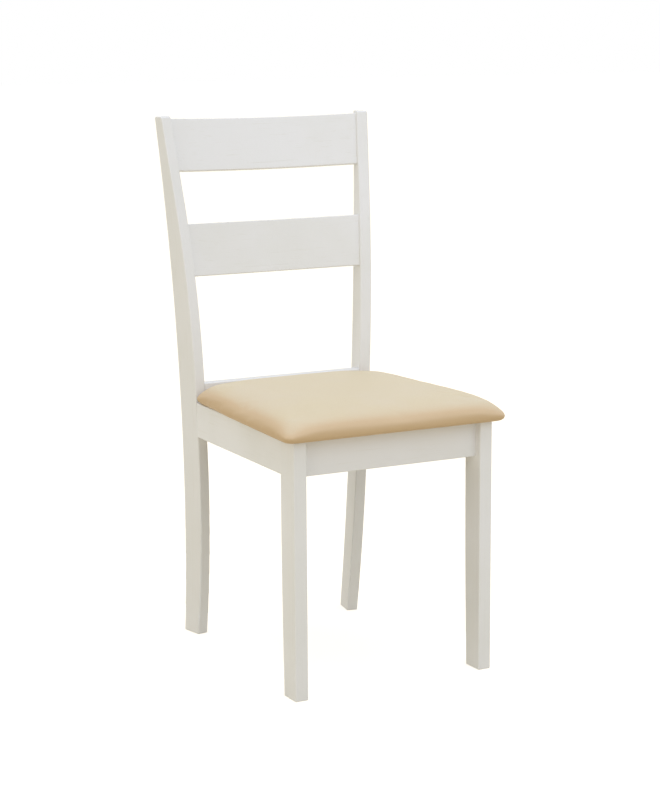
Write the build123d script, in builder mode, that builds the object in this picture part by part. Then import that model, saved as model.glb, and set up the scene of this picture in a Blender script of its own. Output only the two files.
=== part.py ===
from build123d import *
import os
from math import atan2, cos, hypot, radians, sin, sqrt, tan

# A ladder-back dining chair of painted wood with a padded seat, in millimetres.
# X runs across the chair, Y from front to back, Z is up and the floor is Z = 0.
# While it is built, Y = 0 is the front of the front legs.
# Only left-hand pieces are drawn, and the right-hand ones are their mirror images.

# Front legs
legs_outer_width = 365.0
leg_width = 23.0
leg_depth = 46.0
leg_foot_depth = 40.0
leg_taper_height = 330.0

# Seat frame
frame_top = 420.0
apron_height = 60.0
apron_thickness = 20.0
front_apron_setback = 15.0
side_apron_setback = 2.5
side_apron_rear_setback = 1.0
rear_apron_rise = 32.2
rear_apron_setback = 0.7

# Rear posts, whose heights are measured along the post from the top of the seat frame
posts_outer_width = 340.0
post_front = 385.0
post_width = 20.0
post_depth = 47.0
post_foot_depth = 40.0
post_top_depth = 20.0
post_turn = 11.0
post_lean = 2.1
foot_splay = 31.0
chair_height = 905.0
post_straight_below = 90.0
post_straight_above = 10.0
post_waist_below = 40.0
rake_height = 350.0
rake_offset = 35.0
post_top_round = 4.0

# Slats of the back
slat_height = 90.0
slat_thickness = 13.0
slat_setback = 6.0
slat_radius = 950.0
top_slat_drop = 4.5
slat_gap = 91.0
tenon_length = 13.0
tenon_thickness = 7.0
tenon_height = 66.0

# Joints
dowel_radius = 4.0
dowel_in_leg = 13.0
dowel_in_apron = 19.0
dowel_chamfer = 0.8
glue_gap = 0.1
front_dowel_spacing = 40.0
side_dowel_spacing = 16.0
rear_dowel_spacing = 38.0

# Corner blocks and their screws
block_reach = 72.0
block_height = 40.0
block_drop = 3.0
block_clearance = 6.0
block_screw_offset = 50.0
screw_radius = 2.0
screw_head_radius = 4.0
screw_head_height = 2.5
screw_seat = 12.0
screw_bite = 15.0
screw_clearance = 0.15
seat_screw_offset = 23.0
seat_screw_margin = 10.0
seat_screw_recess = 12.0
seat_screw_bite = 9.0

# Seat pad
pad_side_overhang = 20.0
pad_front_overhang = 20.0
pad_rear_overhang = 5.0
pad_rear_reach = 1.8
pad_front_corner = 20.0
pad_rear_corner = 18.0
pad_thickness = 44.5
crown_rise = 22.0
pad_roll = 17.0
pad_tuck = 8.0
roll_share = 0.65
tuck_share = 0.3
corner_share = 0.9
cover_thickness = 1.0
cover_hem = 60.0
foam_gap = 0.3
board_thickness = 12.0
board_inset = 14.0
cloth_thickness = 0.6
cloth_margin = 5.0

# Eased edges
edge_round = 2.0
foot_chamfer = 1.0

apron_bottom = frame_top - apron_height
legs_outer = legs_outer_width / 2
leg_inner = legs_outer - leg_width
turn = radians(post_turn)
lean = radians(post_lean)


def mirrored(plane):
    """The same plane on the other side of the chair, facing the chair's middle too."""
    origin, normal = plane.origin, plane.z_dir
    return Plane(origin=(-origin.X, origin.Y, origin.Z), z_dir=(-normal.X, normal.Y, normal.Z))


def both_sides(planes):
    """Planes of the chair's left side, followed by their mirror images."""
    return [*planes, *(mirrored(plane) for plane in planes)]


def meet(plane, start, direction):
    """The point where a line from start along direction meets a plane."""
    along = (plane.origin - start).dot(plane.z_dir) / direction.dot(plane.z_dir)
    return start + direction * along


# The left post is a board on a plane of its own: x is its depth, y its height, z its inward thickness
post_back = Vector(-sin(turn), cos(turn), 0)
post_inward = Vector(cos(turn) * cos(lean), sin(turn) * cos(lean), sin(lean))
post_corner = Vector(-posts_outer_width / 2, post_front, frame_top)
post_plane = Plane(origin=post_corner, x_dir=post_back, z_dir=post_inward)
post_inner = post_plane.offset(post_width)
post_face = Plane(origin=post_corner, z_dir=-post_back)

post_top = (chair_height - frame_top) / cos(lean) - post_width * tan(lean)
post_bottom = -(frame_top + post_width) / cos(lean)
rake_run = rake_height - post_straight_above
rake_angle = 2 * atan2(rake_offset, rake_run)
rake_radius = (rake_offset**2 + rake_run**2) / (2 * rake_offset)
post_top_front = rake_offset + (post_top - rake_height) * tan(rake_angle)


def post_rake(height):
    """How far back the front of a post lies at a height, and its slope there."""
    if height > rake_height:
        return rake_offset + (height - rake_height) * tan(rake_angle), tan(rake_angle)
    rise = height - post_straight_above
    run = sqrt(rake_radius**2 - rise**2)
    return rake_radius - run, rise / run


# Left side apron: x runs back along its outer face, y points outwards
side_front = Vector(-(legs_outer - side_apron_setback), leg_depth, apron_bottom)
side_rear = Vector(-(posts_outer_width / 2 - side_apron_rear_setback), post_front, apron_bottom)
side_along = (side_rear - side_front).normalized()
side_plane = Plane(origin=side_front, x_dir=side_along, z_dir=(0, 0, 1))
side_inner_corner = side_plane.from_local_coords((0, -apron_thickness, 0))
side_inner = Plane(origin=side_inner_corner, z_dir=-side_plane.y_dir)


def side_inner_at(y):
    """The point of the left side apron's inner face at a distance from the front."""
    across = Plane(origin=(0, y, apron_bottom), z_dir=(0, 1, 0))
    point = meet(across, side_inner.origin, side_along)
    return Vector(point.X, point.Y, 0)


# Front and rear aprons lie square across the chair
front_apron_front = front_apron_setback
front_apron_rear = front_apron_front + apron_thickness
rear_apron_top = frame_top + rear_apron_rise
rear_apron_front = post_inner.origin.Y + rear_apron_setback
rear_apron_middle = rear_apron_front + apron_thickness / 2

# Dowel seats: a plane on each joint face, facing into the apron
apron_middle = frame_top - apron_height / 2
front_seats = []
side_front_seats = []
side_rear_seats = []
rear_seats = []
leg_rear_plane = Plane(origin=(0, leg_depth, 0), z_dir=(0, 1, 0))
for step in (-0.5, 0.5):
    height = apron_middle + step * front_dowel_spacing
    point = Vector(-leg_inner, (front_apron_front + front_apron_rear) / 2, height)
    front_seats.append(Plane(origin=point, z_dir=(1, 0, 0)))
    height = apron_height / 2 + step * side_dowel_spacing
    point = side_plane.from_local_coords((0, -apron_thickness / 2, height))
    side_front_seats.append(Plane(origin=meet(leg_rear_plane, point, side_along), z_dir=side_along))
    side_rear_seats.append(Plane(origin=meet(post_face, point, side_along), z_dir=-side_along))
for step in (-1, 0, 1):
    height = (apron_bottom + rear_apron_top) / 2 + step * rear_dowel_spacing
    point = Vector(0, rear_apron_middle, height)
    rear_seats.append(Plane(origin=meet(post_inner, point, Vector(1, 0, 0)), z_dir=(1, 0, 0)))


def dowels(seats, extra=0, mode=Mode.ADD):
    """A dowel in each seat, or the hole for one with extra room all round."""
    length = dowel_in_leg + dowel_in_apron + 2 * extra
    places = [seat.offset(-dowel_in_leg - extra) for seat in seats]
    base = (Align.CENTER, Align.CENTER, Align.MIN)
    with Locations(*places):
        Cylinder(dowel_radius + extra, length, align=base, mode=mode)


# Slats: a bent board across the posts, drawn on a plane that leans back as the post does there
def slat_plane(height):
    """The middle plane of a slat at a height up the post, with its half chord between the posts."""
    depth, slope = post_rake(height)
    corner = post_plane.from_local_coords((depth, height, post_width))
    tilt = atan2(cos(turn) * slope - sin(turn) * sin(lean), cos(lean))
    origin = (0, corner.Y + slat_setback, corner.Z)
    return Plane(origin=origin, x_dir=(1, 0, 0), z_dir=(0, sin(tilt), cos(tilt))), -corner.X


def slat_band(height, inset, thickness, tall, reach):
    """A length of bent board that reaches into the posts by a given depth at each end."""
    plane, half_chord = slat_plane(height)
    bow = slat_radius - sqrt(slat_radius**2 - half_chord**2)
    with BuildPart() as band:
        with BuildSketch(plane):
            with Locations((0, bow - slat_radius)):
                Circle(slat_radius + inset + thickness)
                Circle(slat_radius + inset, mode=Mode.SUBTRACT)
            Rectangle(legs_outer_width + posts_outer_width, slat_radius / 2, mode=Mode.INTERSECT)
        extrude(amount=tall / 2, both=True)
        for face in both_sides([post_inner]):
            split(bisect_by=face.offset(-reach), keep=Keep.TOP)
    return band.part


tenon_inset = (slat_thickness - tenon_thickness) / 2
top_slat_middle = post_top - top_slat_drop - slat_height / 2 * cos(rake_angle)
middle_slat_middle = top_slat_middle - (slat_gap + slat_height) * cos(rake_angle)
slat_heights = {"top_slat": top_slat_middle, "middle_slat": middle_slat_middle}
pieces = {}

for name, height in slat_heights.items():
    with BuildPart() as slat:
        add(slat_band(height, 0, slat_thickness, slat_height, 0))
        fillet(slat.edges().filter_by(GeomType.CIRCLE), edge_round)
        add(slat_band(height, tenon_inset, tenon_thickness, tenon_height, tenon_length))
    pieces[name] = slat.part

# Rear posts: a sabre-curved board, mortised for the slats and drilled for the dowels
with BuildPart() as rear_post:
    with BuildSketch(post_plane):
        with BuildLine():
            foot_front = (foot_splay, post_bottom)
            foot_back = (foot_splay + post_foot_depth, post_bottom)
            waist_back = (post_depth, -post_waist_below)
            straight_low = (0, -post_straight_below)
            straight_high = (0, post_straight_above)
            rake_end = (rake_offset, rake_height)
            top_front = (post_top_front, post_top)
            top_back = (post_top_front + post_top_depth, post_top)
            TangentArc(straight_low, foot_front, tangent=(0, -1))
            Line(straight_low, straight_high)
            TangentArc(straight_high, rake_end, tangent=(0, 1))
            Line(rake_end, top_front)
            Line(top_front, top_back)
            TangentArc(waist_back, top_back, tangent=(0, 1))
            TangentArc(waist_back, foot_back, tangent=(0, -1))
            Line(foot_front, foot_back)
        make_face()
    extrude(amount=post_width)
    top_edges = rear_post.faces().sort_by(Axis.Z)[-1].edges().filter_by(Axis(post_corner, post_inward))
    fillet(top_edges, post_top_round)
    sides = rear_post.faces().sort_by(Axis(post_corner, post_inward))
    fillet(sides[0].edges() + sides[-1].edges(), edge_round)
    split(bisect_by=Plane.XY, keep=Keep.TOP)
    chamfer(rear_post.faces().sort_by(Axis.Z)[0].edges(), foot_chamfer)
    mortise_inset = tenon_inset - glue_gap
    mortise_thickness = tenon_thickness + 2 * glue_gap
    mortise_height = tenon_height + 2 * glue_gap
    mortise_depth = tenon_length + glue_gap
    for height in slat_heights.values():
        mortise = slat_band(height, mortise_inset, mortise_thickness, mortise_height, mortise_depth)
        add(mortise, mode=Mode.SUBTRACT)
    dowels(side_rear_seats + rear_seats, glue_gap, Mode.SUBTRACT)

# Front legs: planks whose rear edge curves in towards the foot
with BuildPart() as front_leg:
    with BuildSketch(Plane.YZ.offset(-legs_outer)):
        with BuildLine():
            taper_start = (leg_depth, leg_taper_height)
            TangentArc(taper_start, (leg_foot_depth, 0), tangent=(0, -1))
            Polyline(taper_start, (leg_depth, frame_top), (0, frame_top), (0, 0), (leg_foot_depth, 0))
        make_face()
    extrude(amount=leg_width)
    sides = front_leg.faces().sort_by(Axis.X)
    long_edges = (sides[0].edges() + sides[-1].edges()).filter_by(Axis.Y, reverse=True)
    fillet(long_edges, edge_round)
    chamfer(front_leg.faces().sort_by(Axis.Z)[0].edges(), foot_chamfer)
    dowels(front_seats + side_front_seats, glue_gap, Mode.SUBTRACT)


# Corner blocks brace two aprons from inside, clear of the leg or post in the corner
def block_points(cross_face, corner_x, corner_y, inward):
    """The block's outline from the cross apron's face, with inward +1 to the back or -1 to the front."""
    corner = side_inner_at(cross_face)
    return [
        (corner_x + block_clearance, cross_face),
        (corner.X + block_reach, cross_face),
        side_inner_at(cross_face + inward * block_reach),
        side_inner_at(corner_y + inward * block_clearance),
    ]


block_top = frame_top - block_drop
block_bottom = block_top - block_height
block_middle = (block_top + block_bottom) / 2
front_corner = side_inner_at(front_apron_rear)
rear_corner = side_inner_at(rear_apron_front)
front_outline = block_points(front_apron_rear, -leg_inner, leg_depth, 1)
rear_outline = block_points(rear_apron_front, post_inner.origin.X, post_front, -1)

# Screw seats: a plane at the apron's face, facing out of the apron
block_screws = {}
seat_screws = {}
pad_back = post_front + pad_rear_reach
rear_screw_y = pad_back - board_inset - seat_screw_margin
for name, corner, cross_face, inward, seat_y in (
    ("front", front_corner, front_apron_rear, 1, front_apron_rear + seat_screw_offset),
    ("rear", rear_corner, rear_apron_front, -1, rear_screw_y),
):
    cross_point = (corner.X + block_screw_offset, cross_face, block_middle)
    side_point = side_inner_at(cross_face + inward * block_screw_offset)
    side_point = (side_point.X, side_point.Y, block_middle)
    block_screws[name] = [
        Plane(origin=cross_point, z_dir=(0, inward, 0)),
        Plane(origin=side_point, z_dir=side_inner.z_dir),
    ]
    seat_point = (corner.X + seat_screw_offset, seat_y, block_bottom + seat_screw_recess)
    seat_screws[name] = Plane(origin=seat_point, z_dir=(0, 0, -1))

board_bottom = frame_top + cover_thickness
seat_screw_length = board_bottom + seat_screw_bite - block_bottom - seat_screw_recess
base_up = (Align.CENTER, Align.CENTER, Align.MIN)
base_down = (Align.CENTER, Align.CENTER, Align.MAX)


def screws(seats, shank, mode=Mode.ADD, extra=0, pocket=0):
    """Screws with their heads on the seats, or with extra and pocket the room that they need."""
    with Locations(*seats):
        Cylinder(screw_radius + extra, shank + extra, align=base_down, mode=mode)
        Cylinder(screw_head_radius + extra, screw_head_height + pocket, align=base_up, mode=mode)


def head_seats(seats):
    """The planes where the heads of the block screws sit, inside the block."""
    return [seat.offset(screw_seat) for seat in seats]


apron_screw_length = screw_seat + screw_bite
blocks = {}
for name, outline in (("front", front_outline), ("rear", rear_outline)):
    with BuildPart() as block:
        with BuildSketch(Plane.XY.offset(block_bottom)):
            with BuildLine():
                Polyline(*outline, close=True)
            make_face()
        extrude(amount=block_height)
        heads = head_seats(block_screws[name])
        screws(heads, apron_screw_length, Mode.SUBTRACT, screw_clearance, block_reach)
        screws([seat_screws[name]], seat_screw_length, Mode.SUBTRACT, screw_clearance, block_height)
    blocks[name] = block.part

# Aprons
with BuildPart() as front_apron:
    with BuildSketch(Plane.XY.offset(apron_bottom)):
        with Locations((0, (front_apron_front + front_apron_rear) / 2)):
            Rectangle(2 * leg_inner, apron_thickness)
    extrude(amount=apron_height)
    fillet(front_apron.edges().filter_by(Axis.X), edge_round)
    dowels(both_sides(front_seats), glue_gap, Mode.SUBTRACT)
    cross_screws = both_sides(head_seats(block_screws["front"][:1]))
    screws(cross_screws, apron_screw_length, Mode.SUBTRACT, screw_clearance)

with BuildPart() as rear_apron:
    with BuildSketch(Plane.XY.offset(apron_bottom)):
        with Locations((0, rear_apron_middle)):
            Rectangle(posts_outer_width, apron_thickness)
    extrude(amount=rear_apron_top - apron_bottom)
    fillet(rear_apron.edges().filter_by(Axis.X), edge_round)
    for face in both_sides([post_inner]):
        split(bisect_by=face, keep=Keep.TOP)
    dowels(both_sides(rear_seats), glue_gap, Mode.SUBTRACT)
    cross_screws = both_sides(head_seats(block_screws["rear"][:1]))
    screws(cross_screws, apron_screw_length, Mode.SUBTRACT, screw_clearance)

with BuildPart() as side_apron:
    with BuildSketch(side_plane):
        with Locations((0, -apron_thickness / 2)):
            Rectangle(2 * (post_front + post_depth), apron_thickness)
    extrude(amount=apron_height)
    fillet(side_apron.edges().filter_by(Axis(side_front, side_along)), edge_round)
    split(bisect_by=leg_rear_plane, keep=Keep.TOP)
    split(bisect_by=post_face, keep=Keep.TOP)
    dowels(side_front_seats + side_rear_seats, glue_gap, Mode.SUBTRACT)
    side_screws = head_seats([block_screws["front"][1], block_screws["rear"][1]])
    screws(side_screws, apron_screw_length, Mode.SUBTRACT, screw_clearance)

# Fasteners, in groups of separate solids
with BuildPart() as front_apron_dowels:
    dowels(front_seats)
    chamfer(front_apron_dowels.edges().filter_by(GeomType.CIRCLE), dowel_chamfer)
    mirror(about=Plane.YZ)

with BuildPart() as rear_apron_dowels:
    dowels(rear_seats)
    chamfer(rear_apron_dowels.edges().filter_by(GeomType.CIRCLE), dowel_chamfer)
    mirror(about=Plane.YZ)

with BuildPart() as side_apron_dowels:
    dowels(side_front_seats + side_rear_seats)
    chamfer(side_apron_dowels.edges().filter_by(GeomType.CIRCLE), dowel_chamfer)

with BuildPart() as corner_block_screws:
    screws(head_seats(block_screws["front"] + block_screws["rear"]), apron_screw_length)
    mirror(about=Plane.YZ)

with BuildPart() as seat_screw_group:
    screws(seat_screws.values(), seat_screw_length)
    mirror(about=Plane.YZ)

# Seat pad: a crowned cushion over a board, narrower at the back
pad_front = -pad_front_overhang
pad_front_half = legs_outer + pad_side_overhang
pad_rear_half = posts_outer_width / 2 + pad_rear_overhang
pad_middle = (pad_front + pad_back) / 2
pad_reach = hypot(pad_front_half, pad_back - pad_middle)
crown_radius = (pad_reach**2 + crown_rise**2) / (2 * crown_rise)
pad_top = frame_top + pad_thickness
corner_wall = pad_thickness - crown_rise
# The roll and the tuck are limited by the wall at the corners, and the roll by the corners' own radii
tightest_corner = min(pad_front_corner, pad_rear_corner)
roll_radius = min(pad_roll, roll_share * corner_wall, corner_share * tightest_corner)
tuck_radius = min(pad_tuck, tuck_share * corner_wall)


def pad_outline(level, inset):
    """The pad's rounded outline at a level, drawn in by an inset."""
    with BuildSketch(Plane.XY.offset(level)) as outline:
        with BuildLine():
            Polyline(
                (-pad_front_half + inset, pad_front + inset),
                (pad_front_half - inset, pad_front + inset),
                (pad_rear_half - inset, pad_back - inset),
                (-pad_rear_half + inset, pad_back - inset),
                close=True,
            )
        make_face()
        front_corners = outline.vertices().group_by(Axis.Y)[0]
        fillet(front_corners, max(pad_front_corner - inset, edge_round))
        rear_corners = outline.vertices().group_by(Axis.Y)[-1]
        fillet(rear_corners, max(pad_rear_corner - inset, edge_round))
    return outline.sketch


def pad_form(inset):
    """The cushion's crowned form, drawn in all round by an inset."""
    bottom = frame_top + inset
    with BuildPart() as form:
        extrude(pad_outline(bottom, inset), amount=pad_thickness)
        with Locations((0, pad_middle, pad_top - crown_radius)):
            Sphere(crown_radius - inset, rotation=(90, 0, 0), mode=Mode.INTERSECT)
        rim = form.faces().filter_by(GeomType.SPHERE).edges()
        fillet(rim, roll_radius - inset)
        fillet(form.faces().sort_by(Axis.Z)[0].edges(), tuck_radius - inset)
    return form.part


with BuildPart() as seat_board:
    extrude(pad_outline(board_bottom, board_inset), amount=board_thickness)
    screws(both_sides(seat_screws.values()), seat_screw_length, Mode.SUBTRACT, screw_clearance)

with BuildPart() as seat_foam:
    add(pad_form(cover_thickness + foam_gap))
    board_room = pad_outline(frame_top, board_inset - foam_gap)
    extrude(board_room, amount=cover_thickness + board_thickness, mode=Mode.SUBTRACT)

with BuildPart() as seat_cover:
    add(pad_form(0))
    add(pad_form(cover_thickness), mode=Mode.SUBTRACT)
    extrude(pad_outline(frame_top, cover_hem), amount=2 * cover_thickness, mode=Mode.SUBTRACT)
    screws(both_sides(seat_screws.values()), seat_screw_length, Mode.SUBTRACT, screw_clearance)

# Bottom cloth: a thin sheet under the pad, inside the seat frame
with BuildPart() as bottom_cloth:
    with BuildSketch(Plane.XY.offset(frame_top - cloth_thickness)):
        cloth_front = front_apron_rear + cloth_margin
        cloth_back = pad_back - cover_hem / 2
        with BuildLine():
            front_side = side_inner_at(cloth_front).X + cloth_margin
            back_side = side_inner_at(cloth_back).X + cloth_margin
            Polyline(
                (front_side, cloth_front),
                (-front_side, cloth_front),
                (-back_side, cloth_back),
                (back_side, cloth_back),
                close=True,
            )
        make_face()
    extrude(amount=cloth_thickness)
    screws(both_sides(seat_screws.values()), seat_screw_length, Mode.SUBTRACT, screw_clearance)

for name, left in (
    ("front_leg", front_leg.part),
    ("rear_post", rear_post.part),
    ("side_apron", side_apron.part),
    ("side_apron_dowels", side_apron_dowels.part),
    ("corner_block_front", blocks["front"]),
    ("corner_block_rear", blocks["rear"]),
):
    with BuildPart() as right:
        mirror(left, about=Plane.YZ)
    pieces[name + "_left"] = left
    pieces[name + "_right"] = right.part

pieces["front_apron"] = front_apron.part
pieces["rear_apron"] = rear_apron.part
pieces["front_apron_dowels"] = front_apron_dowels.part
pieces["rear_apron_dowels"] = rear_apron_dowels.part
pieces["corner_block_screws"] = corner_block_screws.part
pieces["seat_screws"] = seat_screw_group.part
pieces["seat_board"] = seat_board.part
pieces["seat_foam"] = seat_foam.part
pieces["seat_cover"] = seat_cover.part
pieces["bottom_cloth"] = bottom_cloth.part

# The finished chair stands with the middle of its floor area at the origin
boxes = [piece.bounding_box() for piece in pieces.values()]
middle_y = (min(box.min.Y for box in boxes) + max(box.max.Y for box in boxes)) / 2
os.makedirs("parts", exist_ok=True)
for name, piece in pieces.items():
    placed = piece.moved(Location((0, -middle_y, 0)))
    placed.label = name
    export_step(placed, f"parts/{name}.step")
print(f"chair {chair_height:.0f} mm high, {len(pieces)} pieces, moved {-middle_y:.2f} mm along Y")
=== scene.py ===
import math

import bpy
import numpy as np
from mathutils import Matrix, Vector


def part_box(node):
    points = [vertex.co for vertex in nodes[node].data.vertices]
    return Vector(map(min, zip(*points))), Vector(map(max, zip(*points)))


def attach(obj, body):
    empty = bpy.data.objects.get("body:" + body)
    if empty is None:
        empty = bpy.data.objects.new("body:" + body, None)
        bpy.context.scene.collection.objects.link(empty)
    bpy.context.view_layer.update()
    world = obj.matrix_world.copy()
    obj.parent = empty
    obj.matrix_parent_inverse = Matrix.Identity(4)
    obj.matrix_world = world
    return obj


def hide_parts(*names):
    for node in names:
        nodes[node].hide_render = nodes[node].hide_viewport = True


# A white painted dining chair with a beige padded seat. Metres, Z up, the front faces -Y.
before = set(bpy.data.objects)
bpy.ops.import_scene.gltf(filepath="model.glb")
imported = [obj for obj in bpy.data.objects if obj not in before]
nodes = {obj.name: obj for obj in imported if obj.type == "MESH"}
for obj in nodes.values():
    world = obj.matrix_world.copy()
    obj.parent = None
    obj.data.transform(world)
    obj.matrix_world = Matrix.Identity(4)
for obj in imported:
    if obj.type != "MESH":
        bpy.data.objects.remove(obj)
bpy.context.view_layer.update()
scene = bpy.context.scene
scene.view_settings.view_transform = "Standard"
print("frame loaded:", len(nodes), "nodes")


# Shader helpers

def tone(hexText):
    # sRGB hex text to the linear colour that a socket takes
    srgb = np.array([int(hexText[place:place + 2], 16) for place in (1, 3, 5)]) / 255
    linear = np.where(srgb <= 0.04045, srgb / 12.92, ((srgb + 0.055) / 1.055) ** 2.4)
    return (*linear.tolist(), 1.0)


class Value:
    # a socket that takes part in plain expressions, each of which adds a Math node
    def __init__(self, finish, socket):
        self.finish = finish
        self.socket = socket

    def maths(self, operation, first, second):
        return self.finish.node("ShaderNodeMath", {"operation": operation}, {0: first, 1: second})

    def __add__(self, other):
        return self.maths("ADD", self, other)

    def __radd__(self, other):
        return self.maths("ADD", other, self)

    def __sub__(self, other):
        return self.maths("SUBTRACT", self, other)

    def __rsub__(self, other):
        return self.maths("SUBTRACT", other, self)

    def __mul__(self, other):
        return self.maths("MULTIPLY", self, other)

    def __rmul__(self, other):
        return self.maths("MULTIPLY", other, self)


class Finish:
    # one material: its Principled shader and the nodes that feed it
    def __init__(self, name):
        self.material = bpy.data.materials.new(name)
        self.material.use_nodes = True
        self.tree = self.material.node_tree
        self.shader = self.tree.nodes["Principled BSDF"]

    def feed(self, socket, value):
        if isinstance(value, Value):
            self.tree.links.new(value.socket, socket)
        else:
            socket.default_value = value

    def node(self, kind, settings, sockets, output=0):
        made = self.tree.nodes.new(kind)
        for key, value in settings.items():
            setattr(made, key, value)
        for key, value in sockets.items():
            self.feed(made.inputs[key], value)
        return Value(self, made.outputs[output])

    def surface(self, **sockets):
        # names are the shader's socket names with their blanks left out
        for socket in self.shader.inputs:
            key = socket.name.replace(" ", "")
            if key in sockets:
                self.feed(socket, sockets[key])
        return self.material

    def place(self, scale=(1, 1, 1), turn=(0, 0, 0)):
        spot = self.node("ShaderNodeTexCoord", {}, {}, "Object")
        sockets = {"Vector": spot, "Rotation": turn, "Scale": scale}
        return self.node("ShaderNodeMapping", {}, sockets)

    def along(self, spot, axis):
        return self.node("ShaderNodeSeparateXYZ", {}, {"Vector": spot}, axis)

    def wave(self, turns):
        # a sine that comes round once a turn
        return self.node("ShaderNodeMath", {"operation": "SINE"}, {0: turns * math.tau})

    def noise(self, spot, scale, detail=2.0, rough=0.5):
        sockets = {"Vector": spot, "Scale": scale, "Detail": detail, "Roughness": rough}
        return self.node("ShaderNodeTexNoise", {}, sockets)

    def cells(self, spot, scale):
        # distance to the nearest cell edge
        settings = {"feature": "DISTANCE_TO_EDGE"}
        return self.node("ShaderNodeTexVoronoi", settings, {"Vector": spot, "Scale": scale})

    def dots(self, spot, scale):
        # distance to the nearest point of a square lattice
        sockets = {"Vector": spot, "Scale": scale, "Randomness": 0.0}
        return self.node("ShaderNodeTexVoronoi", {"feature": "F1"}, sockets)

    def fade(self, value, low, high, start=0.0, end=1.0):
        # a smooth step from start to end while the value goes from low to high
        sockets = {
            "Value": value,
            "From Min": low,
            "From Max": high,
            "To Min": start,
            "To Max": end,
        }
        return self.node("ShaderNodeMapRange", {"interpolation_type": "SMOOTHSTEP"}, sockets)

    def mix(self, share, first, second):
        # a colour mix has its factor at input 0, its colours at 6 and 7 and its result at output 2
        sockets = {0: share, 6: first, 7: second}
        return self.node("ShaderNodeMix", {"data_type": "RGBA"}, sockets, 2)

    def bump(self, height, depth=1.0):
        # depth is what a height of 1 stands for, in metres
        return self.node("ShaderNodeBump", {}, {"Height": height, "Distance": depth})

    def attribute(self, name):
        return self.node("ShaderNodeAttribute", {"attribute_name": name}, {}, "Fac")

    def seen(self):
        # 1 for what the camera sees, also by reflection or through glass, and 0 for light cast
        rays = ("Is Camera Ray", "Is Glossy Ray", "Is Transmission Ray")
        direct, glossy, passed = (self.node("ShaderNodeLightPath", {}, {}, ray) for ray in rays)
        return direct + glossy + passed


def dress(material, *names):
    for name in names:
        mesh = nodes[name].data
        mesh.materials.clear()
        mesh.materials.append(material)


# Painted wood: legs, posts, aprons and slats

paintLook = {
    "white": "#EDEDEE",
    "cloud": "#EAEAE9",          # slow drift of the coat
    "pore": "#E0DED8",           # grain that shows through
    "edge": "#DFDACE",           # thinner paint on the arrises
    "cloudScale": 7.0,
    "cloudFade": (0.35, 0.70),
    "grainAcross": 330.0,
    "grainAlong": 9.0,
    "grainDepth": 0.00006,
    "poreFade": (0.56, 0.74),
    "poreShare": 0.24,
    "peelScale": 620.0,          # orange peel of the sprayed coat
    "peelDepth": 0.00003,
    "edgeWidth": 0.0022,
    "edgeFade": (0.985, 0.86),   # cosine between the true normal and the rounded one
    "rubScale": 90.0,            # the arrises are rubbed in patches
    "rubFade": (0.45, 0.70),
    "rubShare": 0.5,
    "cloudSheen": 0.6,           # shares of the roughness
    "peelSheen": 0.4,
    "roughFade": (0.35, 0.65),
    "rough": (0.36, 0.50),
}


def paintedWood(name, grainAxis):
    look = paintLook
    finish = Finish(name)
    plain = finish.place()
    stretch = [look["grainAcross"]] * 3
    stretch[grainAxis] = look["grainAlong"]
    fibre = finish.noise(finish.place(tuple(stretch)), 1.0, detail=3.0, rough=0.55)
    cloud = finish.noise(plain, look["cloudScale"], detail=3.0)
    peel = finish.noise(plain, look["peelScale"], detail=1.0)
    pores = finish.fade(fibre, *look["poreFade"])
    drift = finish.fade(cloud, *look["cloudFade"])
    coat = finish.mix(drift, tone(look["white"]), tone(look["cloud"]))
    coat = finish.mix(pores * look["poreShare"], coat, tone(look["pore"]))
    # an arris is where the rounded normal leaves the true one
    flat = finish.node("ShaderNodeNewGeometry", {}, {}, "Normal")
    soft = finish.node("ShaderNodeBevel", {"samples": 6}, {"Radius": look["edgeWidth"]})
    settings = {"operation": "DOT_PRODUCT"}
    alike = finish.node("ShaderNodeVectorMath", settings, {0: flat, 1: soft}, "Value")
    patch = finish.fade(finish.noise(plain, look["rubScale"], detail=3.0), *look["rubFade"])
    rub = finish.fade(alike, *look["edgeFade"]) * patch
    coat = finish.mix(rub * look["rubShare"], coat, tone(look["edge"]))
    sheen = cloud * look["cloudSheen"] + peel * look["peelSheen"]
    relief = pores * -look["grainDepth"] + peel * look["peelDepth"]
    return finish.surface(
        BaseColor=coat,
        Roughness=finish.fade(sheen, *look["roughFade"], *look["rough"]),
        Normal=finish.bump(relief),
        IOR=1.48,
        SpecularIORLevel=0.45,
    )


dress(paintedWood("whitePaintAcross", 0), "front_apron", "rear_apron", "top_slat", "middle_slat")
dress(paintedWood("whitePaintDeep", 1), "side_apron_left", "side_apron_right")
sides = ("left", "right")
uprights = [f"{kind}_{side}" for kind in ("front_leg", "rear_post") for side in sides]
dress(paintedWood("whitePaintUpright", 2), *uprights)
print("painted wood dressed")


# Bare wood inside the seat frame

blockLook = {
    "early": "#D3B184",
    "late": "#B58A58",
    "ray": "#A87C4B",
    "stretch": (40.0, 420.0, 420.0),
    "turn": (0.0, 0.0, math.radians(45)),
    "rings": 95.0,               # growth rings a metre
    "ringFade": (-0.9, 1.0),
    "ringShare": 0.75,
    "ringDepth": 0.00008,
    "bendScale": 14.0,
    "bendReach": 0.06,
    "rayFade": (0.55, 0.75),
    "rayShare": 0.6,
    "grainDepth": 0.00025,
    "roughFade": (0.3, 0.7),
    "rough": (0.55, 0.72),
}


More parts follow.
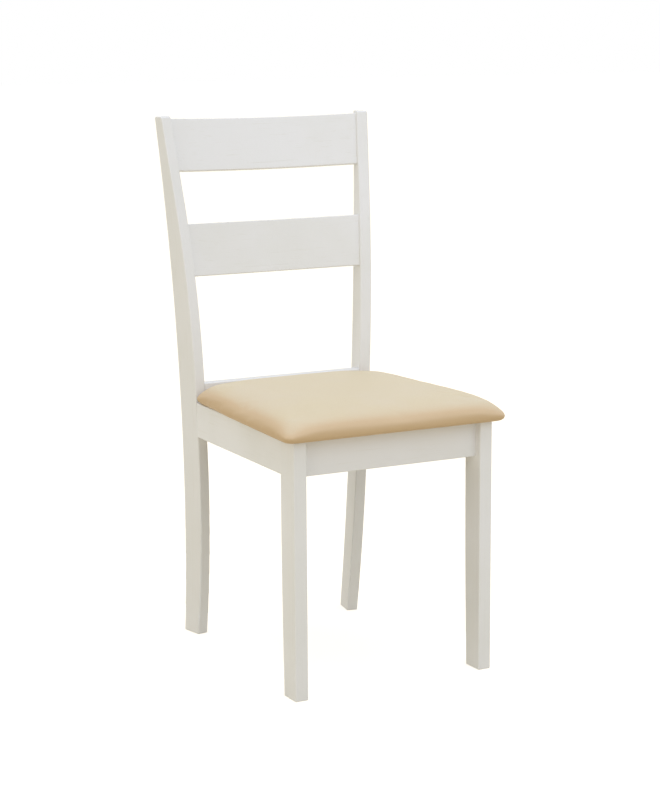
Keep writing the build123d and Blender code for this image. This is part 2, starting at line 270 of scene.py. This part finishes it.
def bareWood(name, look):
    # grain is noise pulled out along one axis, and rings are a wave bent by slow noise
    finish = Finish(name)
    spot = finish.place(look["stretch"], look["turn"])
    grain = finish.noise(spot, 1.0, detail=4.0, rough=0.6)
    turned = finish.place(turn=look["turn"])
    bend = finish.noise(turned, look["bendScale"])
    turns = (finish.along(turned, "Y") + bend * look["bendReach"]) * look["rings"]
    ring = finish.fade(finish.wave(turns), *look["ringFade"])
    rays = finish.fade(grain, *look["rayFade"])
    colour = finish.mix(ring * look["ringShare"], tone(look["early"]), tone(look["late"]))
    colour = finish.mix(rays * look["rayShare"], colour, tone(look["ray"]))
    relief = grain * look["grainDepth"] + ring * look["ringDepth"]
    return finish.surface(
        BaseColor=colour,
        Roughness=finish.fade(grain, *look["roughFade"], *look["rough"]),
        Normal=finish.bump(relief),
    )


ends = ("front", "rear")
blockNodes = [f"corner_block_{end}_{side}" for end in ends for side in sides]
dress(bareWood("bareBeech", blockLook), *blockNodes)

dowelLook = dict(
    blockLook,
    early="#DCC197",
    late="#C9A775",
    stretch=(60.0, 500.0, 500.0),
    turn=(0.0, 0.0, 0.0),
)
dowelNodes = [f"{end}_apron_dowels" for end in ends]
dowelNodes += [f"side_apron_dowels_{side}" for side in sides]
dress(bareWood("dowelBeech", dowelLook), *dowelNodes)

boardLook = {
    "pale": "#CFAE7C",
    "dark": "#9C7647",
    "ply": 0.0024,               # two veneers, one along and one across
    "bandFade": (-0.25, 0.25),
    "bandShare": 0.6,
    "stretch": (12.0, 260.0, 40.0),
    "grainFade": (0.45, 0.75),
    "grainShare": 0.4,
    "grainDepth": 0.0002,
    "roughFade": (0.3, 0.7),
    "rough": (0.60, 0.78),
}


def plywood(name, look):
    # veneers are bands in height, and each face has long grain
    finish = Finish(name)
    height = finish.along(finish.place(), "Z")
    band = finish.fade(finish.wave(height * (1 / look["ply"])), *look["bandFade"])
    grain = finish.noise(finish.place(look["stretch"]), 1.0, detail=4.0, rough=0.6)
    streak = finish.fade(grain, *look["grainFade"])
    share = band * look["bandShare"] + streak * look["grainShare"]
    return finish.surface(
        BaseColor=finish.mix(share, tone(look["pale"]), tone(look["dark"])),
        Roughness=finish.fade(grain, *look["roughFade"], *look["rough"]),
        Normal=finish.bump(grain, look["grainDepth"]),
    )


dress(plywood("seatPlywood", boardLook), "seat_board")
print("bare wood dressed")


# Mesh helpers

def skin(rings):
    # rings of points, each closed on itself: quads between neighbours,
    # and a fan to a middle point at each end
    count, around = rings.shape[:2]
    last = count * around
    index = np.arange(last).reshape(count, around)
    beside = np.roll(index, -1, 1)
    quads = np.stack([index[:-1], beside[:-1], beside[1:], index[1:]], -1).reshape(-1, 4)
    low = np.stack([beside[0], index[0], np.full(around, last)], -1)
    high = np.stack([index[-1], beside[-1], np.full(around, last + 1)], -1)
    points = np.concatenate([rings.reshape(-1, 3), rings[:1].mean(1), rings[-1:].mean(1)])
    return points, quads, np.concatenate([low, high])


def joined(skins):
    # skins in one list of points and one list of faces
    starts = np.cumsum([0] + [len(points) for points, quads, fans in skins])
    faces = []
    for (points, quads, fans), start in zip(skins, starts):
        faces += (quads + start).tolist() + (fans + start).tolist()
    return np.concatenate([points for points, quads, fans in skins]), faces


def piece(name, points, faces, material, sharp=40.0):
    mesh = bpy.data.meshes.new(name)
    mesh.from_pydata(points.tolist(), [], faces)
    mesh.shade_smooth()
    mesh.set_sharp_from_angle(angle=math.radians(sharp))
    mesh.materials.append(material)
    made = bpy.data.objects.new(name, mesh)
    scene.collection.objects.link(made)
    return made


def meshPoints(mesh):
    flat = np.empty(len(mesh.vertices) * 3)
    mesh.vertices.foreach_get("co", flat)
    return flat.reshape(-1, 3)


def circle(steps):
    # angles of even steps once round
    return np.linspace(0, 2 * np.pi, steps, endpoint=False)


# Steel fasteners

steelLook = {
    "plate": "#B4B2A8",
    "warm": "#A89C7C",
    "warmScale": 160.0,
    "warmFade": (0.4, 0.7),
    "warmShare": 0.6,
    "scratchScale": 1900.0,
    "scratchDepth": 0.00003,
    "roughFade": (0.3, 0.7),
    "rough": (0.26, 0.46),
}


def platedSteel(name, look):
    finish = Finish(name)
    spot = finish.place()
    warm = finish.fade(finish.noise(spot, look["warmScale"], detail=3.0), *look["warmFade"])
    scratch = finish.noise(spot, look["scratchScale"])
    return finish.surface(
        BaseColor=finish.mix(warm * look["warmShare"], tone(look["plate"]), tone(look["warm"])),
        Roughness=finish.fade(scratch, *look["roughFade"], *look["rough"]),
        Metallic=1.0,
        Normal=finish.bump(scratch, look["scratchDepth"]),
    )


steel = platedSteel("zincSteel", steelLook)

screwShape = {
    "around": 36,
    "shankRings": 90,
    "domeRings": 26,
    "pitch": 0.0018,
    "core": 0.0014,
    "point": 0.005,              # length of the tapered tip
    "pointStart": 0.0002,
    "pointLeast": 0.02,          # thickness where the tip starts, as a share
    "rim": 0.35,                 # upright part of the head, as a share of its height
    "domeEdge": 0.999,
    "domeMiddle": 0.0005,
    "recess": 0.0014,            # depth of the cross slot
    "slot": 0.00065,             # half its width
    "slotReach": 0.0026,
    "headEdge": 0.95,            # CAD points this far out, as a share, are the head's
    "tipReach": 0.002,           # CAD points this near the tip give the shank's radius
}


def screw(axis, tip, head, headRadius, radius, headHeight):
    # a revolved profile: the thread is a saw wave that climbs one pitch a turn,
    # and a cross is sunk in the dome
    shape = screwShape
    length = np.linalg.norm(head - tip)
    neck = length - headHeight
    turn = circle(shape["around"])
    along = np.linspace(shape["pointStart"], neck, shape["shankRings"])[:, None]
    saw = np.abs(((along / shape["pitch"] - turn / (2 * np.pi)) % 1) - 0.5) * 2
    shank = shape["core"] + (radius - shape["core"]) * saw
    shank = shank * np.clip(along / shape["point"], shape["pointLeast"], 1)
    area = np.linspace(1.0, shape["domeMiddle"], shape["domeRings"])[:, None]
    bulge = np.sqrt(1 - area * shape["domeEdge"])
    dome = neck + headHeight * (shape["rim"] + (1 - shape["rim"]) * bulge)
    wide = headRadius * np.sqrt(area) + 0 * turn
    offset = np.minimum(np.abs(wide * np.cos(turn)), np.abs(wide * np.sin(turn)))
    inSlot = (offset < shape["slot"]) & (wide < shape["slotReach"])
    dome = dome - shape["recess"] * inSlot
    under = np.full((1, shape["around"]), headRadius)
    radii = np.concatenate([shank, under, wide])
    heights = np.concatenate([along + 0 * turn, under * 0 + neck, dome])
    side = np.cross(axis, (0.0, 0.0, 1.0) if abs(axis[2]) < 0.9 else (1.0, 0.0, 0.0))
    side = side / np.linalg.norm(side)
    other = np.cross(axis, side)
    ring = np.cos(turn)[:, None] * side + np.sin(turn)[:, None] * other
    return skin(tip + heights[..., None] * axis + radii[..., None] * ring)


def screwPlaces(name, perCorner):
    # the CAD points of each screw, found by corner of the seat,
    # and where a corner has two screws, by how far out they lie
    points = meshPoints(nodes[name].data)
    found = []
    for sideX in (-1, 1):
        for sideY in (-1, 1):
            corner = points[(points[:, 0] * sideX > 0) & (points[:, 1] * sideY > 0)]
            out = np.abs(corner[:, 0])
            split = (out.min() + out.max()) / 2
            pair = [corner[out < split], corner[out >= split]]
            found += pair if perCorner == 2 else [corner]
    return found


def screwSet(name, cadNode, perCorner):
    # the longest spread of a screw's points is its axis, and the wide end is the head
    shape = screwShape
    made = []
    for solid in screwPlaces(cadNode, perCorner):
        middle = (solid.min(0) + solid.max(0)) / 2
        apart = np.unique(solid.round(6), axis=0) - middle
        axis = np.linalg.svd(apart, full_matrices=False)[2][0]
        run = (solid - middle) @ axis
        spread = np.linalg.norm(solid - middle - run[:, None] * axis, axis=1)
        if run[spread.argmax()] < 0:
            axis = -axis
            run = -run
        headRun = run[spread > spread.max() * shape["headEdge"]]
        tip = middle + axis * run.min()
        head = middle + axis * run.max()
        shankRadius = np.median(spread[run < run.min() + shape["tipReach"]])
        headHeight = run.max() - headRun.min()
        made.append(screw(axis, tip, head, spread.max(), shankRadius, headHeight))
    group = piece(name, *joined(made), steel)
    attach(group, "root")
    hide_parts(cadNode)


screwSet("blockScrews", "corner_block_screws", 2)
screwSet("seatScrews", "seat_screws", 1)
print("screws made")


# Seat pad

padShape = {
    "lift": 0.0002,              # clear of the frame that it rests on
    "inset": 0.0010,             # the cover starts smaller and swells out
    "frontHalf": 0.2060,
    "rearHalf": 0.1772,
    "frontCorner": 0.016,
    "rearCorner": 0.018,
    "rim": 0.0085,               # height of the outermost line
    "tuck": 0.006,               # how far in the side turns under
    "tuckPower": 2.0,            # 2 is a quarter ellipse, more is squarer
    "curl": (0.25, 0.60),        # from here to there, towards the rear, the lower edge curls up
    "curlReach": 0.0080,         # the tuck grows by this much
    "curlFlat": 0.7,             # and its power falls by this much
    "roll": 0.052,
    "rollPower": 2.25,
    "shoulder": 0.0297,
    "crown": 0.0062,
    "sideRise": 0.0016,          # the sides stand a little higher than the front
    "rearDrop": 0.0014,          # and the rear a little lower
    "edgePower": 4,              # how near the edges that rise and drop keep
    "cornerDrop": 0.90,
    "cornerPower": 4.8,
    "around": 400,
    "rings": 70,
    "hub": 0.02,                 # innermost ring, as a share
    "ringPower": 0.6,            # under 1 crowds the rings towards the outline
    "arcSteps": 24,
    "voxel": 0.0042,
    "pressure": 0.6,
    "frames": 20,
    "cap": 0.004,
    "held": 0.001,               # points this low stay where they rest
    "smooth": 3,
    "smoothFactor": 0.5,
    "dimpleIn": 0.036,           # where the cover is gathered, in from each front corner
    "dimpleWide": 0.007,
    "dimpleDeep": 0.0012,
}

coverLook = {
    "top": "#E2D6B9",
    # the roll and deep colours are painted shade on the cover's sides and underside
    "roll": "#DCC3A1",
    "deep": "#CDB18A",
    "pale": "#E4DAC6",
    "cloudScale": 9.0,
    "cloudFade": (0.4, 0.7),
    "paleShare": 0.5,
    "rollFade": (-0.04, 0.38),   # painted shade on the rolled side, by the side share: 0 lies level, 1 stands upright
    # painted deeper shade where the side turns under
    "deepFade": (0.40, 1.05),
    "grainScale": 620.0,
    "grainFade": (0.0, 0.35),
    "grainDepth": 0.00012,
    # painted shade in the grain's valleys
    "creaseShare": 0.22,
    "fineScale": 2400.0,
    "pebbleRelief": 0.8,
    "fineRelief": 0.2,
    "roughFade": (0.3, 0.7),
    "rough": (0.46, 0.60),
}


def roundedLoop(corners, radii, count):
    # each corner is an arc that touches both its sides,
    # and the whole loop is then walked at even steps
    arcs = []
    befores = np.roll(corners, 1, 0)
    afters = np.roll(corners, -1, 0)
    for here, before, after, radius in zip(corners, befores, afters, radii):
        back = (before - here) / np.linalg.norm(before - here)
        ahead = (after - here) / np.linalg.norm(after - here)
        half = math.acos(back @ ahead) / 2
        sweep = np.pi / 2 - half
        inward = (back + ahead) / np.linalg.norm(back + ahead)
        centre = here + inward * radius / math.sin(half)
        outward = math.atan2(-inward[1], -inward[0])
        turn = outward + np.linspace(-sweep, sweep, padShape["arcSteps"])
        arcs.append(centre + radius * np.stack([np.cos(turn), np.sin(turn)], -1))
    loop = np.concatenate(arcs + [arcs[0][:1]])
    lengths = np.linalg.norm(np.diff(loop, axis=0), axis=1)
    walked = np.concatenate([[0], np.cumsum(lengths)])
    steps = np.linspace(0, walked[-1], count, endpoint=False)
    return np.stack([np.interp(steps, walked, loop[:, axis]) for axis in (0, 1)], -1)


def quarter(depth, power):
    # a rounded edge, 0 at the edge itself and 1 from a depth of 1 on
    return (1 - (1 - np.clip(depth, 0, 1)) ** power) ** (1 / power)


def padForm():
    # spokes run from the pad's middle to its outline: below the rim a rounded quarter tucks under,
    # above it another rolls over, and the crown falls off to the sides and most to the corners
    shape = padShape
    low, high = (np.array(corner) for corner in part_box("seat_cover"))
    frontHalf = shape["frontHalf"] - shape["inset"]
    rearHalf = shape["rearHalf"] - shape["inset"]
    front = low[1] + shape["inset"]
    rear = high[1] - shape["inset"]
    middle = np.array([0.0, (front + rear) / 2])
    corners = [(-frontHalf, front), (frontHalf, front), (rearHalf, rear), (-rearHalf, rear)]
    radii = [shape["frontCorner"]] * 2 + [shape["rearCorner"]] * 2
    spokes = roundedLoop(np.array(corners), radii, shape["around"]) - middle
    reach = np.linalg.norm(spokes, axis=1)
    share = np.linspace(shape["hub"], 1, shape["rings"])[:, None] ** shape["ringPower"]
    inward = (1 - share) * reach
    flat = middle + share[..., None] * spokes
    widthHere = frontHalf + (rearHalf - frontHalf) * (flat[..., 1] - front) / (rear - front)
    across = flat[..., 0] / widthHere
    along = (flat[..., 1] - middle[1]) / (rear - middle[1])
    start, full = shape["curl"]
    curl = np.clip((along - start) / (full - start), 0, 1)
    tuck = shape["tuck"] + shape["curlReach"] * curl
    tuckPower = shape["tuckPower"] - shape["curlFlat"] * curl
    under = shape["rim"] * (1 - quarter(inward / tuck, tuckPower))
    over = quarter(inward / shape["roll"], shape["rollPower"])
    corner = np.abs(across * along) ** shape["cornerPower"]
    domeAcross = 1 - across ** 2
    domeAlong = 1 - along ** 2
    nearSide = across ** shape["edgePower"]
    nearRear = np.clip(along, 0, 1) ** shape["edgePower"]
    crown = shape["shoulder"] * (1 - shape["cornerDrop"] * corner)
    crown = crown + shape["crown"] * domeAcross * domeAlong
    crown = crown + shape["sideRise"] * nearSide * domeAlong
    crown = crown - shape["rearDrop"] * nearRear * domeAcross
    base = low[2] + shape["lift"]
    below = np.concatenate([flat, (base + under)[..., None]], -1)
    above = np.concatenate([flat, (base + shape["rim"] + over * crown)[..., None]], -1)
    return joined([skin(np.concatenate([below, above[-2::-1]]))])


def swell(pad):
    # air pressure in a cloth that is held flat where it rests,
    # with the movement of every point capped
    shape = padShape
    rest = meshPoints(pad.data)
    lowest = rest[:, 2].min()
    held = pad.vertex_groups.new(name="held")
    held.add(np.flatnonzero(rest[:, 2] < lowest + shape["held"]).tolist(), 1.0, "REPLACE")
    cloth = pad.modifiers.new("air", "CLOTH")
    cloth.settings.use_pressure = True
    cloth.settings.uniform_pressure_force = shape["pressure"]
    cloth.settings.effector_weights.gravity = 0
    cloth.settings.vertex_group_mass = "held"
    for step in range(1, shape["frames"] + 1):
        scene.frame_set(step)
    puffed = pad.evaluated_get(bpy.context.evaluated_depsgraph_get()).data
    moved = meshPoints(puffed) - rest
    length = np.linalg.norm(moved, axis=1, keepdims=True)
    moved = moved * np.minimum(1, shape["cap"] / np.maximum(length, 1e-9))
    pad.modifiers.remove(cloth)
    pad.vertex_groups.clear()
    scene.frame_set(1)
    pad.data.vertices.foreach_set("co", (rest + moved).ravel())
    print("pad swelled by", round(float(length.max()) * 1000, 1), "mm before the cap")


def gather(pad):
    # a shallow bell-shaped dimple in the top near each front corner
    shape = padShape
    points = meshPoints(pad.data)
    low = points.min(0)
    spot = np.array([shape["frontHalf"] - shape["dimpleIn"], low[1] + shape["dimpleIn"]])
    folded = np.stack([np.abs(points[:, 0]), points[:, 1]], -1)
    away = np.linalg.norm(folded - spot, axis=1)
    upper = points[:, 2] > low[2] + shape["rim"]
    points[:, 2] -= upper * shape["dimpleDeep"] * np.exp(-(away / shape["dimpleWide"]) ** 2)
    pad.data.vertices.foreach_set("co", points.ravel())
    pad.data.update()


def applied(made, kind, **settings):
    # one modifier, applied at once
    modifier = made.modifiers.new(kind, kind)
    for key, value in settings.items():
        setattr(modifier, key, value)
    shown = made.evaluated_get(bpy.context.evaluated_depsgraph_get())
    mesh = bpy.data.meshes.new_from_object(shown)
    made.modifiers.clear()
    old = made.data
    made.data = mesh
    bpy.data.meshes.remove(old)


def smoothed(made):
    applied(made, "SMOOTH", factor=padShape["smoothFactor"], iterations=padShape["smooth"])


def leatherette(name):
    # a fine pebble grain with painted shade in its valleys, paler where it is rubbed on the crown,
    # and painted shade, darker and warmer, where the side turns away from the top
    look = coverLook
    finish = Finish(name)
    spot = finish.place()
    side = finish.attribute("sideShadeShare")
    cloud = finish.noise(spot, look["cloudScale"], detail=3.0)
    pebble = finish.fade(finish.cells(spot, look["grainScale"]), *look["grainFade"])
    fine = finish.noise(spot, look["fineScale"])
    rubbed = finish.fade(cloud, *look["cloudFade"]) * look["paleShare"]
    creaseShade = (1 - pebble) * look["creaseShare"]
    colour = finish.mix(rubbed, tone(look["top"]), tone(look["pale"]))
    # painted shade: darker, warmer colours the further the surface faces away from up
    colour = finish.mix(finish.fade(side, *look["rollFade"]), colour, tone(look["roll"]))
    colour = finish.mix(finish.fade(side, *look["deepFade"]), colour, tone(look["deep"]))
    # painted shade in the grain's valleys, in the deep colour
    colour = finish.mix(creaseShade, colour, tone(look["deep"]))
    sheen = cloud * 0.5 + fine * 0.5
    relief = pebble * look["pebbleRelief"] + fine * look["fineRelief"]
    return finish.surface(
        BaseColor=colour,
        Roughness=finish.fade(sheen, *look["roughFade"], *look["rough"]),
        Normal=finish.bump(relief, look["grainDepth"]),
        IOR=1.47,
        SpecularIORLevel=0.35,
    )


cover = leatherette("beigeLeatherette")
pad = piece("seatPad", *padForm(), cover, sharp=180)
applied(pad, "REMESH", mode="VOXEL", voxel_size=padShape["voxel"], use_smooth_shade=True)
smoothed(pad)
swell(pad)
smoothed(pad)
gather(pad)
# the side share, 1 less the normal's height, masks the cover's painted shade
normals = np.empty(len(pad.data.vertices) * 3)
pad.data.vertices.foreach_get("normal", normals)
upward = normals.reshape(-1, 3)[:, 2]
sideShadeShare = pad.data.attributes.new("sideShadeShare", "FLOAT", "POINT")
sideShadeShare.data.foreach_set("value", (1 - upward).astype(np.float32))
pad.data.materials.clear()
pad.data.materials.append(cover)
finer = pad.modifiers.new("finer", "SUBSURF")
finer.levels = 1
finer.render_levels = 1
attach(pad, "root")
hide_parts("seat_cover", "seat_foam")
print("seat pad made:", len(pad.data.vertices), "points")


# Lining under the seat

liningShape = {
    "drop": 0.0003,              # middle of the sheet below the top of the seat frame
    "thick": 0.0005,
    "sag": 0.0010,
    "pucker": 0.0004,
    "waves": 12,                 # puckers are the mean of this many random waves
    "waveRange": (6, 22),
    "seed": 7,
    "across": 90,
    "deep": 86,
    "edge": 0.0005,              # CAD points this near an end give its width
}

liningLook = {
    "black": "#26262A",
    "fibre": "#3A3A3F",
    "fibreScale": 1500.0,
    "fibreFade": (0.4, 0.7),
    "fibreShare": 0.5,
    "fibreRelief": 0.4,
    "dotScale": 700.0,
    "dotFade": (0.22, 0.34),
    "dotRelief": 0.6,
    "depth": 0.0003,
    "rough": (0.55, 0.88),
}


def nonWoven(name):
    # pressed dots in a square lattice over fine random fibres
    look = liningLook
    finish = Finish(name)
    spot = finish.place()
    dots = finish.fade(finish.dots(spot, look["dotScale"]), *look["dotFade"])
    fibre = finish.noise(spot, look["fibreScale"], detail=4.0, rough=0.7)
    share = finish.fade(fibre, *look["fibreFade"]) * look["fibreShare"]
    relief = dots * look["dotRelief"] + fibre * look["fibreRelief"]
    return finish.surface(
        BaseColor=finish.mix(share, tone(look["black"]), tone(look["fibre"])),
        Roughness=finish.fade(dots, 0.0, 1.0, *look["rough"]),
        Normal=finish.bump(relief, look["depth"]),
    )


def liningSheet():
    # a straight-sided sheet from front to back:
    # it sags between its edges and puckers a little at random
    shape = liningShape
    points = meshPoints(nodes["bottom_cloth"].data)
    low, high = points.min(0), points.max(0)
    frontHalf = points[points[:, 1] < low[1] + shape["edge"], 0].max()
    rearHalf = points[points[:, 1] > high[1] - shape["edge"], 0].max()
    length = high[1] - low[1]
    steps = np.linspace(-1, 1, shape["across"]), np.linspace(0, 1, shape["deep"])
    across, along = np.meshgrid(*steps)
    half = frontHalf + (rearHalf - frontHalf) * along
    loose = (1 - across ** 2) * 4 * along * (1 - along)
    dice = np.random.default_rng(shape["seed"])
    waves = dice.uniform(*shape["waveRange"], (shape["waves"], 2))
    phase = dice.uniform(0, 2 * np.pi, shape["waves"])
    angle = across[..., None] * waves[:, 0] + along[..., None] * waves[:, 1] + phase
    ripple = np.cos(angle).mean(-1) * np.sqrt(loose)
    height = high[2] - shape["drop"] - shape["sag"] * loose + shape["pucker"] * ripple
    sheet = np.stack([across * half, low[1] + length * along, height], -1)
    index = np.arange(across.size).reshape(across.shape)
    quads = [index[:-1, :-1], index[:-1, 1:], index[1:, 1:], index[1:, :-1]]
    faces = np.stack(quads, -1).reshape(-1, 4).tolist()
    size = (2 * float(frontHalf), float(length))
    return sheet.reshape(-1, 3), faces, size, float(frontHalf + rearHalf) * size[1]


liningPoints, liningFaces, liningSize, liningArea = liningSheet()
lining = piece("bottomLining", liningPoints, liningFaces, nonWoven("blackNonWoven"), sharp=180)
wall = lining.modifiers.new("wall", "SOLIDIFY")
wall.thickness = liningShape["thick"]
wall.offset = 0.0
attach(lining, "root")
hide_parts("bottom_cloth")

stapleShape = {
    "width": 0.0105,
    "wire": 0.0006,
    "wireSides": 8,
    "leg": 0.0014,
    "bend": (0.4, 1.4),          # where a bend ends on either leg, in wires
    "spacing": 0.038,
    "margin": 0.007,
    "tilt": 9.0,                 # how far a hand-held tool strays, in degrees
    "seed": 11,
}


def staples():
    # a wire carried along three straight runs with rounded bends, repeated round the lining's edge
    shape = stapleShape
    perRow = liningShape["across"]
    corners = liningPoints[[0, perRow - 1, -1, -perRow]][:, :2]
    middle = corners.mean(0)
    inner = middle + (corners - middle) * (1 - shape["margin"] / np.abs(corners - middle))
    loop = np.concatenate([inner, inner[:1]])
    half = shape["width"] / 2
    near, far = (shape["wire"] * wires for wires in shape["bend"])
    leftRun = np.array([-half, -half, -half + near, -half + far])
    leftClimb = np.array([shape["leg"], far, near, 0])
    run = np.concatenate([leftRun, -leftRun[::-1]])
    climb = np.concatenate([leftClimb, leftClimb[::-1]])
    slope = np.arctan2(np.gradient(climb), np.gradient(run))[:, None]
    turn = circle(shape["wireSides"])
    radius = shape["wire"] / 2
    x = run[:, None] - np.sin(slope) * np.cos(turn) * radius
    y = np.sin(turn) * radius + 0 * x
    z = climb[:, None] + np.cos(slope) * np.cos(turn) * radius
    level = liningPoints[:, 2].max() - liningShape["thick"] / 2 - radius
    dice = np.random.default_rng(shape["seed"])
    made = []
    for start, side in zip(loop[:-1], np.diff(loop, axis=0)):
        count = max(2, round(float(np.linalg.norm(side)) / shape["spacing"]))
        for step in range(count):
            spot = start + side * (step + 0.5) / count
            stray = math.radians(dice.normal(0, shape["tilt"]))
            heading = math.atan2(side[1], side[0]) + stray
            wide = x * math.cos(heading) - y * math.sin(heading) + spot[0]
            deep = x * math.sin(heading) + y * math.cos(heading) + spot[1]
            made.append(skin(np.stack([wide, deep, z + level], -1)))
    return joined(made)


stapleRow = piece("liningStaples", *staples(), steel)
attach(stapleRow, "root")
print("lining and staples made")


# Camera, from the photograph's view

cameraView = {
    "place": (-1.63434, -3.04647, 1.06572),
    "yaw": 28.305,               # degrees from +Y towards +X
    "pitch": 10.515,             # degrees below the horizon
    "roll": -0.324,
    "focal": 2088.28,            # pixels, in an image 812 pixels high
    "high": 812,
    "sensor": 36,
}


def photoCamera():
    view = cameraView
    yaw, pitch, roll = (math.radians(view[key]) for key in ("yaw", "pitch", "roll"))
    level = Vector((math.sin(yaw), math.cos(yaw), 0))
    ahead = level * math.cos(pitch) - Vector((0, 0, math.sin(pitch)))
    right = Vector((math.cos(yaw), -math.sin(yaw), 0))
    up = right.cross(ahead)
    across = math.cos(roll) * right + math.sin(roll) * up
    upright = -math.sin(roll) * right + math.cos(roll) * up
    camera = bpy.data.objects.new("camera", bpy.data.cameras.new("camera"))
    camera.data.sensor_width = view["sensor"]
    camera.data.lens = view["focal"] * view["sensor"] / view["high"]
    facing = Matrix((across, upright, -ahead)).transposed()
    camera.matrix_world = Matrix.Translation(view["place"]) @ facing.to_4x4()
    scene.collection.objects.link(camera)
    scene.camera = camera


photoCamera()


# Studio: a white floor, soft lamps and a white surround

studio = {
    "floorHalf": 30.0,
    "floor": "#D8CEB7",
    "glow": 0.70,                # plain white added to what the camera sees of the floor
    "surround": 0.702,
    "surroundColour": "#FFFFF9",
    "seenColour": "#FFFFFF",
    "aim": (0, 0, 0.45),         # what every lamp faces
    "lamps": {
        "topLamp": {"place": (0.0, -0.4, 3.4), "size": 2.8, "power": 30.5, "colour": "#DFE6FF"},
        "frontLamp": {"place": (0.6, -3.4, 2.5), "size": 2.2, "power": 22.1, "colour": "#D8E4FF"},
        "leftLamp": {"place": (-3.2, -1.0, 1.3), "size": 2.4, "power": 13.0, "colour": "#FFF6E6"},
    },
}


def whiteFloor():
    # lit white that keeps the shadow, with plain white added where the camera sees it
    finish = Finish("floorWhite")
    finish.surface(BaseColor=tone(studio["floor"]), Roughness=0.9, SpecularIORLevel=0.0)
    glow = finish.fade(finish.seen(), 0.0, 1.0, 0.0, studio["glow"])
    sockets = {"Color": tone(studio["seenColour"]), "Strength": glow}
    white = finish.node("ShaderNodeEmission", {}, sockets)
    lit = Value(finish, finish.shader.outputs[0])
    both = finish.node("ShaderNodeAddShader", {}, {0: lit, 1: white})
    # from below the floor lets everything through, so that the seat's underside can be looked at
    below = finish.node("ShaderNodeNewGeometry", {}, {}, "Backfacing")
    clear = finish.node("ShaderNodeBsdfTransparent", {}, {})
    shown = finish.node("ShaderNodeMixShader", {}, {0: below, 1: both, 2: clear})
    finish.feed(finish.tree.nodes["Material Output"].inputs["Surface"], shown)
    return finish.material


half = studio["floorHalf"]
floorPoints = np.array([(-half, -half, 0), (half, -half, 0), (half, half, 0), (-half, half, 0)])
piece("floor", floorPoints, [[0, 1, 2, 3]], whiteFloor())


class Surround(Finish):
    # the world's nodes, made by the same methods
    def __init__(self):
        self.material = bpy.data.worlds.new("studio")
        self.material.use_nodes = True
        self.tree = self.material.node_tree
        self.shader = self.tree.nodes["Background"]


around = Surround()
seen = around.seen()
scene.world = around.surface(
    Color=around.mix(seen, tone(studio["surroundColour"]), tone(studio["seenColour"])),
    Strength=around.fade(seen, 0.0, 1.0, studio["surround"], 1.0),
)

for name, lamp in studio["lamps"].items():
    light = bpy.data.lights.new(name, "AREA")
    light.size = lamp["size"]
    light.energy = lamp["power"]
    light.color = tone(lamp["colour"])[:3]
    holder = bpy.data.objects.new(name, light)
    toward = Vector(studio["aim"]) - Vector(lamp["place"])
    facing = toward.to_track_quat("-Z", "Y").to_matrix().to_4x4()
    holder.matrix_world = Matrix.Translation(lamp["place"]) @ facing
    scene.collection.objects.link(holder)
print("camera and studio set")
